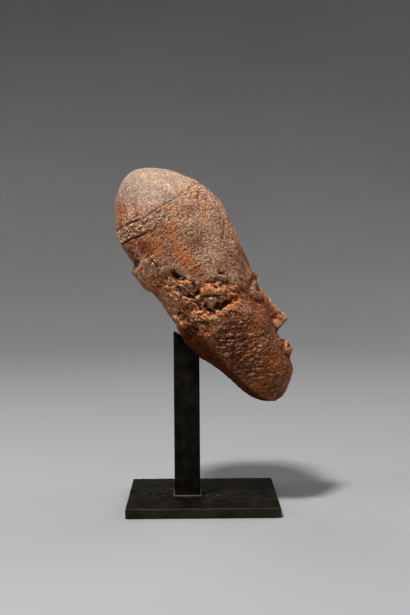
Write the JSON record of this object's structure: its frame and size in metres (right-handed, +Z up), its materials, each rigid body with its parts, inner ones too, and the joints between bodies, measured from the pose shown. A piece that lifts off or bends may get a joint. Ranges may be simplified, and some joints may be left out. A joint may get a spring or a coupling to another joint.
{
  "type": "terracotta head on a display stand",
  "caption": "Worn fired-clay head with an elongated crown and headband, broken off at the neck, held tilted back on a square steel post with a flat foot plate.",
  "frame": {"origin": "centre of the foot plate's underside", "axes": "+Z up, +X towards the side that the face looks to, +Y towards the head's left side"},
  "size_m": [0.1427, 0.1, 0.2722],
  "materials": {
    "fired_clay": "matte",
    "blackened_steel": "satin"
  },
  "bodies": {
    "root": {"head": "fired_clay", "post": "blackened_steel", "base_plate": "blackened_steel"}
  },
  "joints": []
}
